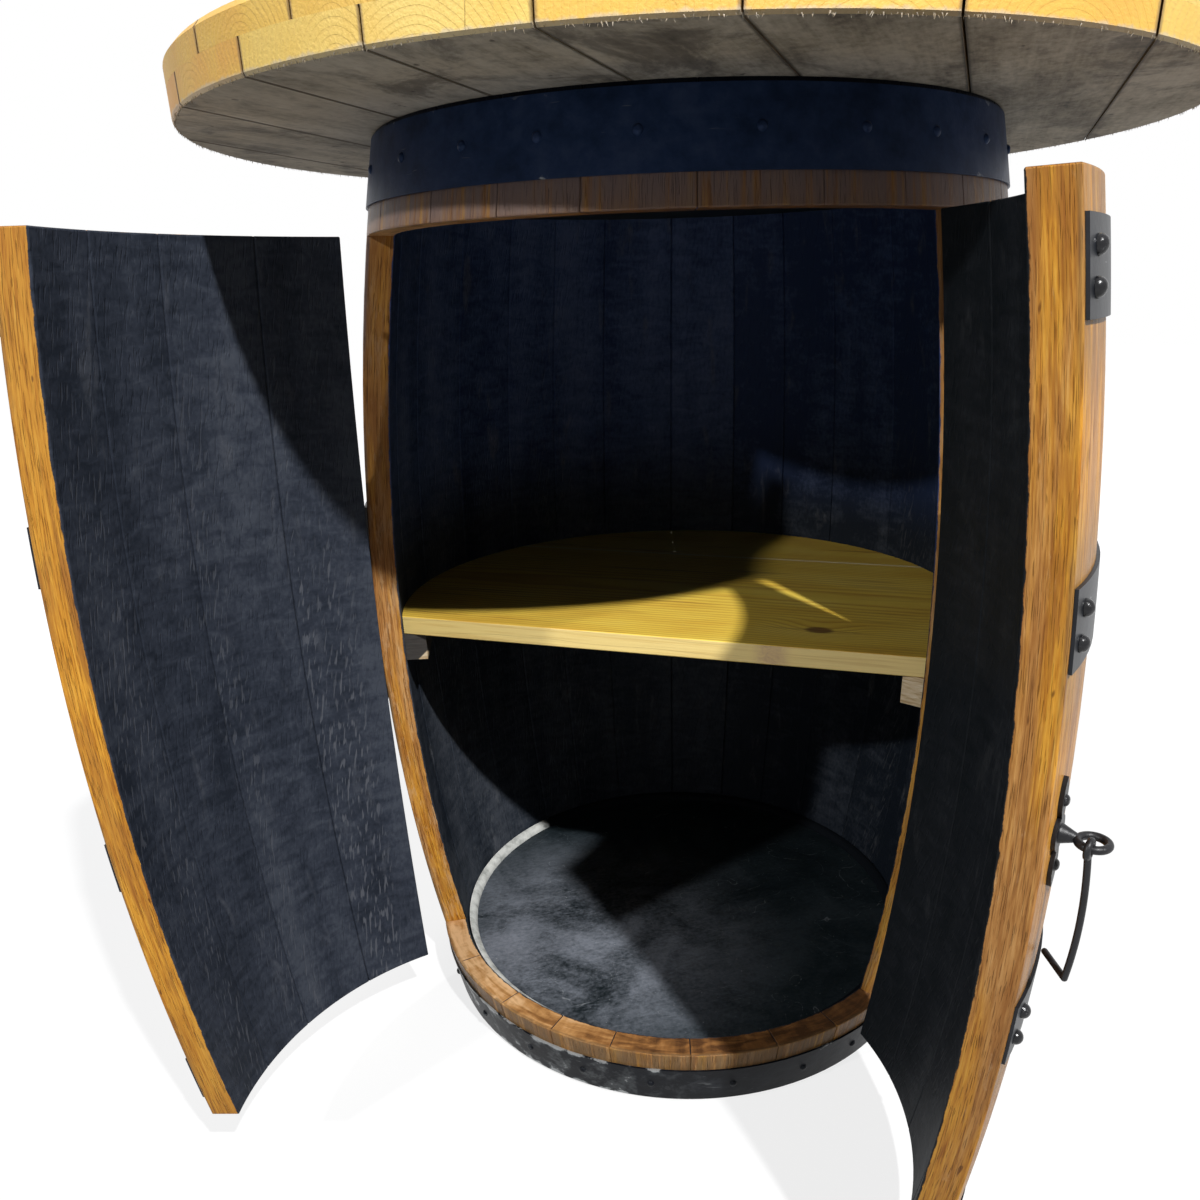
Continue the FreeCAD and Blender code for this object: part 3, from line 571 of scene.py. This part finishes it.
def ring_wood(look, along, across, up, pith, ring_width, ring_wander):
    """Growth rings about a pith line: 0 in pale early wood, rising to 1 at each late-wood line."""
    bend = look.noise((along, across, up), (2.2, 11, 11), detail=3)
    wave = look.times(look.minus(bend, 0.5), ring_wander)
    off_pith = look.span(look.minus(across, pith[0]), look.minus(up, pith[1]))
    rings = look.math("FRACT", look.math("DIVIDE", look.plus(off_pith, wave), ring_width))
    return look.times(look.ramp(rings, 0.25, 0.93), look.ramp(rings, 1.0, 0.93))


def weathered_pine(look, parts, chances, seam_dirt):
    """Colour and relief of grey, mouldy sawn boards with dark seams."""
    weather = look.noise(parts, (26, 6, 26), detail=6, roughness=0.65)
    streaks = look.noise(parts, (310, 9, 310), roughness=0.6)
    rough_saw = look.noise(parts, (170, 110, 170), detail=5, roughness=0.65)
    board_tone = look.minus(chances[2], 0.5)
    age = look.weigh((weather, 0.62), (streaks, 0.12), (rough_saw, 0.26), (board_tone, 0.08))
    grey = look.tones(
        age,
        (0.32, (0.10, 0.085, 0.070)),
        (0.44, (0.37, 0.325, 0.255)),
        (0.55, (0.58, 0.52, 0.425)),
        (0.70, (0.72, 0.665, 0.565)),
    )
    grey = look.over(grey, (0.03, 0.024, 0.02), seam_dirt, 0.8)
    mould = look.noise(parts, (13, 8, 13), detail=7, roughness=0.7, distortion=0.6)
    grey = look.over(grey, (0.085, 0.074, 0.064), look.ramp(mould, 0.48, 0.64), 0.68)
    marks = look.ramp(look.noise(parts, (70, 40, 70), detail=2), 0.70, 0.76)
    return look.over(grey, (0.05, 0.042, 0.036), marks, 0.7), age


def table_look(name, seam, layer_foot, warm_end):
    """Pine boards with ring-marked ends at the rim, a weathered underside and a furred lower edge."""
    look = Look(name)
    parts = look.split(look.turn_about_z(look.place, (0, 0, 0), -table_turn))
    x, y, z = parts
    boards = look.math("DIVIDE", look.minus(x, seam), table_board_width)
    board = look.math("FLOOR", boards)
    board_part = look.math("FRACT", boards)
    chances = look.chance(look.plus(board, board_draw_start + layer_foot))
    pith = (
        look.times(look.minus(chances[0], 0.5), table_pith_spread),
        look.minus(table_pith_top, look.times(chances[1], table_pith_drop)),
    )
    across = look.times(look.minus(board_part, 0.5), table_board_width)
    up = look.minus(z, layer_foot)
    rings = ring_wood(look, y, across, up, pith, table_ring_width, table_ring_wander)
    fibre = look.noise(parts, (520, 18, 520), detail=3)
    blotch = look.noise(parts, (22, 7, 22))
    warm = look.math("LESS_THAN", board, warm_end - 0.5)
    tint = look.plus(look.weigh((blotch, 0.6), (chances[2], 0.3), (warm, -0.32)), 0.15)
    pale = look.tones(
        tint,
        (0.25, (0.69, 0.335, 0.070)),
        (0.50, (0.73, 0.455, 0.088)),
        (0.75, (0.77, 0.555, 0.150)),
    )
    ring_share = look.times(look.math("POWER", rings, 3), look.ramp(blotch, 0.25, 0.8))
    wood = look.over(pale, (0.54, 0.28, 0.07), ring_share, 0.26)
    wood = look.over(wood, (0.50, 0.29, 0.10), look.ramp(fibre, 0.56, 0.75), 0.25)

    facing = look.facing_up()
    rim = look.ramp(look.math("ABSOLUTE", facing), 0.7, 0.4)
    crack_noise = look.noise(parts, (34, 34, 9), detail=2, distortion=0.4)
    some = look.ramp(look.noise(parts, (13, 13, 3), detail=1), 0.58, 0.64)
    cracks = look.times(look.ramp(look.gap(crack_noise, 0.5), 0.006, 0), some, rim)
    wood = look.over(wood, (0.12, 0.06, 0.025), cracks, 0.85)
    to_seam = look.minus(0.5, look.gap(board_part, 0.5))
    seam_dirt = look.ramp(to_seam, 0.030, 0.008)
    wood = look.over(wood, (0.14, 0.085, 0.045), seam_dirt, 0.75)
    fur = look.times(look.noise(parts, (160, 160, 60)), fur_height)
    furred = look.ramp(look.minus(look.minus(z, table_foot), fur), *fur_edge)
    wood = look.over(wood, (0.52, 0.46, 0.36), furred, 0.6)
    oiled = look.mix(1, wood, (0.60, 0.52, 0.42), "MULTIPLY")
    wood = look.over(wood, oiled, look.ramp(facing, 0.75, 0.9), 0.55)

    grey, age = weathered_pine(look, parts, chances, seam_dirt)
    below = look.ramp(facing, -0.75, -0.9)
    relief = look.weigh((rings, -0.15), (fibre, 0.6), (cracks, -1.5))
    look.bump(look.mix(below, relief, age), distance=0.0006)
    return look.dress(look.mix(below, wood, grey), look.plus(0.50, look.times(below, 0.30)), specular=0.4)


def shelf_look(name):
    """Yellow varnished pine with long flat grain, a dark knot in the face and a whorl in the front edge."""
    look = Look(name)
    parts = look.split(look.place)
    x, y, z = parts
    knot_x, knot_y, knot_size = shelf_face_knot
    beside = look.math("DIVIDE", look.minus(x, knot_x), shelf_knot_stretch)
    off_knot = look.span(beside, look.minus(y, knot_y))
    lift = look.times(look.ramp(off_knot, knot_size * 4, 0), shelf_knot_lift)
    up = look.minus(z, shelf_top)
    rings = ring_wood(look, x, look.plus(y, lift), up, shelf_pith, shelf_ring_width, shelf_ring_wander)
    fibre = look.noise(parts, (14, 420, 420), detail=3)
    pale = look.tones(
        look.noise(parts, (5, 18, 18)),
        (0.30, (0.69, 0.43, 0.056)),
        (0.50, (0.80, 0.57, 0.082)),
        (0.72, (0.86, 0.67, 0.145)),
    )
    face = look.over(pale, (0.48, 0.23, 0.026), rings, 0.62)
    face = look.over(face, (0.42, 0.22, 0.035), look.ramp(fibre, 0.56, 0.72), 0.35)
    dark = look.ramp(look.noise(parts, (7, 150, 150), detail=3), 0.58, 0.72)
    face = look.over(face, (0.31, 0.145, 0.026), dark, 0.65)
    knot = look.ramp(off_knot, knot_size * 1.05, knot_size * 0.55)
    face = look.over(face, (0.13, 0.050, 0.024), knot, 0.85)
    joint_shown = look.ramp(look.gap(y, shelf_joint), *shelf_joint_line)
    face = look.over(face, (0.86, 0.78, 0.50), joint_shown, 0.85)

    lines = look.ramp(look.noise(parts, (8, 8, 420)), 0.46, 0.66)
    edge = look.over((0.82, 0.62, 0.225), (0.56, 0.35, 0.085), lines, 0.45)
    curl = look.noise(parts, (110, 110, 170), detail=3, distortion=1.5)
    whorl = look.times(look.ramp(look.gap(x, shelf_whorl_x), *shelf_whorl_reach), curl)
    edge = look.over(edge, (0.46, 0.27, 0.15), whorl, 1.2)
    flat = look.ramp(look.math("ABSOLUTE", look.facing_up()), 0.4, 0.6)
    look.bump(look.weigh((rings, -0.3), (fibre, 0.7)), distance=0.0004)
    rough = look.plus(0.30, look.times(fibre, 0.15))
    return look.dress(look.mix(flat, edge, face), rough, coat=0.15)


def raw_pine_look(name):
    """Sawn pine offcuts; the left front shelf block carries a painted shadow over its front, all but one
    lit corner.
    """
    look = Look(name)
    parts = look.split(look.place)
    grain = look.noise(parts, (60, 60, 420), distortion=0.5)
    colour = look.tones(
        grain,
        (0.32, (0.40, 0.27, 0.13)),
        (0.52, (0.62, 0.49, 0.31)),
        (0.70, (0.72, 0.61, 0.44)),
    )
    beside = look.minus(parts[0], block_lit_corner[0])
    above = look.minus(parts[2], block_lit_corner[1])
    # Painted shadow: the front of the block is darkened, all but the lit corner
    painted = look.ramp(look.minus(beside, above), *block_shadow_edge)
    painted_shadow_left = look.times(painted, look.math("LESS_THAN", parts[0], 0))
    colour = look.over(colour, (0.022, 0.023, 0.026), painted_shadow_left, 0.96)
    look.bump(grain, distance=0.0006)
    return look.dress(colour, 0.75, specular=0.2)


def hoop_look(name, joint=None):
    """Blue-black painted steel strip, bluish on the top chime hoop as a painted sheen of shade, scuffed to
    grey metal in patches and along its edges.
    """
    look = Look(name)
    at = BarrelPlace(look, joint)
    mottle = look.noise(at.parts, (42, 42, 55), detail=6, roughness=0.65)
    cloud = look.noise(at.parts, (9, 9, 20), detail=3)
    tone = look.weigh((mottle, 0.6), (cloud, 0.4))
    paint = look.tones(
        tone,
        (0.34, (0.003, 0.0035, 0.005)),
        (0.52, (0.006, 0.0075, 0.011)),
        (0.70, (0.014, 0.017, 0.023)),
    )
    # Painted sheen: the top chime hoop turns bluish
    if not joint:
        navy_sheen = look.tones(
            tone,
            (0.34, (0.011, 0.024, 0.060)),
            (0.52, (0.025, 0.048, 0.118)),
            (0.70, (0.054, 0.082, 0.165)),
        )
        paint = look.mix(look.ramp(at.z, *navy_sheen_hoop_foot), paint, navy_sheen)
    kicked = look.ramp(look.gap(at.turn, kick_turn), *kick_reach)
    kicked = look.times(kicked, look.ramp(at.z, *kick_height))
    dusty = look.times(kicked, look.ramp(mottle, 0.46, 0.62))
    paint = look.over(paint, (0.080, 0.086, 0.090), dusty, 0.9)
    off_edge = look.ramp(look.math("ABSOLUTE", beyond_hoops(look, at.z)), *hoop_worn_edge)
    rubbed = look.weigh((mottle, 1), (off_edge, -0.16), (cloud, 0.35), (kicked, 0.20))
    scratch = look.ramp(look.noise(at.parts, (24, 24, 300), detail=2, distortion=0.8), 0.72, 0.76)
    wear = look.math("MAXIMUM", look.ramp(rubbed, 0.78, 0.87), look.times(scratch, 0.3))
    colour = look.mix(wear, paint, (0.34, 0.355, 0.36))
    look.bump(look.minus(mottle, look.times(wear, 0.4)), distance=0.0005)
    rough = look.minus(0.40, look.times(wear, 0.08))
    return look.dress(colour, rough, metallic=look.times(wear, 0.4), specular=0.25 if joint else 0.09)


def iron_look(name, colour, bright, wear_low, roughness):
    """Black iron with rubbed places."""
    look = Look(name)
    parts = look.split(look.place)
    fine = look.noise(parts, (420, 420, 420), roughness=0.6)
    broad = look.noise(parts, (90, 90, 90), detail=3)
    wear = look.ramp(look.weigh((fine, 0.5), (broad, 0.5)), wear_low, wear_low + 0.10)
    paler = tuple(2 * part for part in colour)
    shade = look.mix(look.ramp(broad, 0.3, 0.7), colour, paler)
    shade = look.mix(wear, shade, bright)
    look.bump(fine, distance=0.0003)
    rough = look.plus(roughness, look.times(look.minus(fine, 0.5), 0.3))
    return look.dress(shade, rough, metallic=look.times(wear, 0.8), specular=0.3)


def head_look(name):
    """Black painted head boards, rubbed grey and white, the scuffs laid where the light falls so that they
    also paint a pool of light.
    """
    look = Look(name)
    parts = look.split(look.place)
    off_worn = look.node("ShaderNodeVectorMath", operation="DISTANCE")
    look.feed(off_worn.inputs[0], look.place)
    off_worn.inputs[1].default_value = head_scuff_and_light_place
    scuffed_and_lit = look.ramp(off_worn.outputs["Value"], *head_scuff_and_light_reach)
    cloud = look.noise(parts, (10, 10, 10), detail=6, roughness=0.6, distortion=0.6)
    wiped = look.split(look.turn_about_z(look.place, (0, 0, 0), head_wipe_turn))
    brush = look.noise(wiped, (34, 120, 60), detail=6, roughness=0.68, distortion=1.8)
    speck = look.noise(parts, (210, 210, 210), roughness=0.65)
    tone = look.weigh((cloud, 0.56), (brush, 0.22), (speck, 0.22))
    base = look.tones(
        tone,
        (0.38, (0.006, 0.010, 0.012)),
        (0.50, (0.014, 0.021, 0.025)),
        (0.62, (0.030, 0.040, 0.047)),
    )
    # Scuffs and painted light: the pale rubbing is strongest in the lit patch
    scuff_and_light = look.times(look.ramp(tone, 0.34, 0.68), scuffed_and_lit)
    colour = look.over(base, (0.29, 0.31, 0.36), scuff_and_light, 0.75)
    scratch_noise = look.noise(parts, (11, 11, 11), detail=1, distortion=1.5)
    scratch = look.ramp(look.gap(scratch_noise, 0.5), 0.003, 0)
    scratch = look.times(scratch, look.ramp(brush, 0.42, 0.60))
    colour = look.over(colour, (0.36, 0.38, 0.40), scratch, 0.4)
    dust = look.ramp(look.noise(parts, (420, 420, 420), detail=2), 0.73, 0.78)
    colour = look.over(colour, (0.42, 0.42, 0.42), dust, 0.6)
    look.bump(speck, distance=0.0005)
    return look.dress(colour, look.plus(0.45, look.times(scuff_and_light, 0.3)), specular=0.12)


def bead_look(name):
    """Pale grey sealant with dust in its hollows, painted over on the right and darkened at the back as
    painted shade, pale only along the left of the front.
    """
    look = Look(name)
    parts = look.split(look.place)
    dirt = look.noise(parts, (70, 70, 70), detail=5)
    colour = look.tones(
        dirt,
        (0.34, (0.36, 0.37, 0.35)),
        (0.50, (0.60, 0.61, 0.58)),
        (0.70, (0.74, 0.75, 0.71)),
    )
    slant = look.plus(parts[0], look.times(parts[1], bead_slant))
    ragged = look.plus(slant, look.times(look.minus(dirt, 0.5), bead_paint_and_shade_wander))
    # Painted over on the right, and painted shade at the back
    colour = look.mix(look.ramp(ragged, *bead_paint_and_shade_edge), colour, (0.007, 0.009, 0.012))
    look.bump(dirt, distance=0.001)
    return look.dress(colour, 0.7, specular=0.05)


def straw_look(name):
    """Torn pine fibre."""
    look = Look(name)
    colour = look.tones(
        look.noise(look.split(look.place), (240, 240, 240), detail=2),
        (0.35, (0.28, 0.22, 0.14)),
        (0.52, (0.44, 0.37, 0.27)),
        (0.70, (0.58, 0.52, 0.42)),
    )
    return look.dress(colour, 0.8, specular=0.2)


def stave_looks(left_joint, right_joint):
    """The staves' material for each body."""
    return {
        "cabinet": stave_look(
            "carcass_oak",
            tints=wall_tints,
            high_tints=navy_sheen_tints,
            pores=wall_pores,
            sawn_turns=(-door_turn, door_turn),
            gold_low=0.44,
            rubbed_low=0.50,
            painted_light_height=0.26,
            right_painted_shade=0.35,
        ),
        "left_door": stave_look(
            "left_door_oak",
            tints=left_door_tints,
            pores=left_door_pores,
            sawn_turns=(-door_turn, 0),
            gold_low=0.22,
            rubbed_low=0.66,
            painted_light_height=0.40,
            joint=left_joint,
        ),
        "right_door": stave_look(
            "right_door_oak",
            tints=right_door_shaded_tints,
            pores=right_door_pores,
            sawn_turns=(0, door_turn),
            gold_low=0.45,
            rubbed_low=0.60,
            painted_light_height=0.62,
            joint=right_joint,
        ),
    }


def dress_nodes():
    """Give every CAD node its material."""
    left_joint = joints["left_door_swing"]
    right_joint = joints["right_door_swing"]
    oak = stave_looks(left_joint, right_joint)
    hoops = {
        "cabinet": hoop_look("carcass_hoop_paint"),
        "left_door": hoop_look("left_door_hoop_paint", left_joint),
        "right_door": hoop_look("right_door_hoop_paint", right_joint),
    }
    iron_black = (0.005, 0.005, 0.006)
    iron = iron_look("black_iron", iron_black, (0.06, 0.06, 0.062), wear_low=0.64, roughness=0.40)
    fastener = iron_look("fastener_black", iron_black, (0.12, 0.12, 0.125), wear_low=0.60, roughness=0.20)
    pine = raw_pine_look("raw_pine")
    shelf = shelf_look("shelf_pine")
    head = head_look("painted_head_boards")
    single = {
        "tabletop_lower_boards": table_look("table_lower_pine", lower_seam, table_foot, lower_warm_end),
        "tabletop_upper_boards": table_look("table_upper_pine", upper_seam, table_layer, upper_warm_end),
        "tabletop_cleats": pine,
        "shelf_blocks": pine,
        "shelf_front_board": shelf,
        "shelf_rear_board": shelf,
        "top_head_boards": head,
        "bottom_head_boards": head,
        "bottom_head_seal": bead_look("sealing_bead"),
    }
    for name, node in nodes.items():
        body = node["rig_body"]
        if name in single:
            material = single[name]
        elif "stave" in name:
            material = oak[body]
        elif name != "carcass_hoop_nails" and ("nails" in name or "screws" in name):
            material = fastener
        elif "hoop" in name:
            material = hoops[body]
        else:
            material = iron
        node.data.materials.clear()
        node.data.materials.append(material)


def make_rim_fibres():
    """Torn fibres along the sawn lower edge of the board top, as fine tapered slivers."""
    draw = random.Random(7)
    edge_radius = table_radius - fibre_inset
    root_height = Vector((0, 0, table_foot + fibre_root))
    down = Vector((0, 0, -1))
    verts = []
    faces = []
    for index in range(fibre_places):
        turn = math.tau * (index + draw.random()) / fibre_places
        patchy = math.sin(fibre_patches[0] * turn) * math.sin(fibre_patches[1] * turn + 1)
        if draw.random() < fibre_bare_share + fibre_bare_swing_share * patchy:
            continue
        radial = Vector((math.cos(turn), math.sin(turn), 0))
        along = Vector((-math.sin(turn), math.cos(turn), 0))
        length = fibre_length[0] + fibre_length[1] * draw.random() ** 2
        width = fibre_width[0] + fibre_width[1] * draw.random()
        root = radial * (edge_radius + fibre_spread * draw.random()) + root_height
        lean = along * draw.uniform(-fibre_side_lean, fibre_side_lean)
        lean += radial * draw.uniform(*fibre_radial_lean)
        tip = root + (lean + down).normalized() * (length + fibre_root)
        start = len(verts)
        verts += [root + along * width, root - along * width, root - radial * width * 2, tip]
        faces += [tuple(start + corner for corner in face) for face in fibre_faces]
    mesh = bpy.data.meshes.new("rim_fibres")
    mesh.from_pydata([tuple(point) for point in verts], [], faces)
    mesh.materials.append(straw_look("torn_fibre"))
    fibres = bpy.data.objects.new("rim_fibres", mesh)
    bpy.context.scene.collection.objects.link(fibres)
    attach(fibres, "cabinet")


def make_camera():
    """The photograph's viewpoint."""
    data = bpy.data.cameras.new("camera")
    camera = bpy.data.objects.new("camera", data)
    bpy.context.scene.collection.objects.link(camera)
    data.sensor_width = sensor_width
    data.lens = sensor_width * focal_pixels / image_size
    data.shift_x = -centre_right_pixels / image_size
    data.shift_y = centre_drop_pixels / image_size
    ahead = Vector(
        (
            -math.sin(camera_yaw) * math.cos(camera_pitch),
            math.cos(camera_yaw) * math.cos(camera_pitch),
            -math.sin(camera_pitch),
        )
    )
    level = Vector((math.cos(camera_yaw), math.sin(camera_yaw), 0))
    upward = level.cross(ahead)
    side = level * math.cos(camera_roll) + upward * math.sin(camera_roll)
    top = upward * math.cos(camera_roll) - level * math.sin(camera_roll)
    turn = Matrix((side, top, -ahead)).transposed()
    camera.matrix_world = Matrix.Translation(camera_place) @ turn.to_4x4()
    bpy.context.scene.camera = camera


def make_lights():
    """A key light from above the front right, a weaker one from the front left, and a wide one behind."""
    for name, place, size, power in lamps:
        data = bpy.data.lights.new(name, "AREA")
        data.shape = "DISK"
        data.size = size
        data.energy = power
        lamp = bpy.data.objects.new(name, data)
        bpy.context.scene.collection.objects.link(lamp)
        lamp.location = place
        lamp.rotation_euler = (lamp_target - place).to_track_quat("-Z", "Y").to_euler()


def seen_share(tree):
    """1 for rays that show a surface to the eye, straight, mirrored or through glass."""
    path = tree.nodes.new("ShaderNodeLightPath")
    seen = path.outputs["Is Camera Ray"]
    for name in ("Is Glossy Ray", "Is Transmission Ray"):
        either = tree.nodes.new("ShaderNodeMath")
        either.operation = "MAXIMUM"
        tree.links.new(seen, either.inputs[0])
        tree.links.new(path.outputs[name], either.inputs[1])
        seen = either.outputs["Value"]
    return seen


def make_world():
    """White to the eye, and a low, cool, even light on the object."""
    world = bpy.data.worlds.new("world")
    bpy.context.scene.world = world
    world.use_nodes = True
    tree = world.node_tree
    light = tree.nodes.new("ShaderNodeMixRGB")
    light.inputs["Color1"].default_value = room_light
    light.inputs["Color2"].default_value = white
    tree.links.new(seen_share(tree), light.inputs["Fac"])
    tree.links.new(light.outputs["Color"], tree.nodes["Background"].inputs["Color"])


def floor_material():
    """White to the eye, whiter further out, with room for a shadow; a dull grey to other light."""
    material = bpy.data.materials.new("floor_white")
    material.use_nodes = True
    tree = material.node_tree
    tree.nodes.clear()
    output = tree.nodes.new("ShaderNodeOutputMaterial")
    bounce = tree.nodes.new("ShaderNodeBsdfDiffuse")
    bounce.inputs["Color"].default_value = floor_bounce
    shade = tree.nodes.new("ShaderNodeBsdfDiffuse")
    shade.inputs["Color"].default_value = floor_shade
    place = tree.nodes.new("ShaderNodeTexCoord")
    away = tree.nodes.new("ShaderNodeVectorMath")
    away.operation = "LENGTH"
    tree.links.new(place.outputs["Object"], away.inputs[0])
    level = tree.nodes.new("ShaderNodeMapRange")
    level.interpolation_type = "SMOOTHSTEP"
    level.inputs["From Min"].default_value = floor_fade[0]
    level.inputs["From Max"].default_value = floor_fade[1]
    level.inputs["To Min"].default_value = floor_glow
    tree.links.new(away.outputs["Value"], level.inputs["Value"])
    glow = tree.nodes.new("ShaderNodeEmission")
    tree.links.new(level.outputs["Result"], glow.inputs["Strength"])
    shown = tree.nodes.new("ShaderNodeAddShader")
    tree.links.new(shade.outputs[0], shown.inputs[0])
    tree.links.new(glow.outputs[0], shown.inputs[1])
    chosen = tree.nodes.new("ShaderNodeMixShader")
    tree.links.new(seen_share(tree), chosen.inputs[0])
    tree.links.new(bounce.outputs[0], chosen.inputs[1])
    tree.links.new(shown.outputs[0], chosen.inputs[2])
    tree.links.new(chosen.outputs[0], output.inputs["Surface"])
    return material


def make_floor():
    """A plain white floor that keeps the object's shadow."""
    half = floor_size / 2
    corners = [(-half, -half, 0), (half, -half, 0), (half, half, 0), (-half, half, 0)]
    mesh = bpy.data.meshes.new("floor")
    mesh.from_pydata(corners, [], [(0, 1, 2, 3)])
    mesh.materials.append(floor_material())
    floor = bpy.data.objects.new("floor", mesh)
    bpy.context.scene.collection.objects.link(floor)
    floor.location.z = -floor_drop


dress_nodes()
make_rim_fibres()
make_camera()
make_lights()
make_world()
make_floor()
bpy.context.scene.view_settings.view_transform = "Standard"
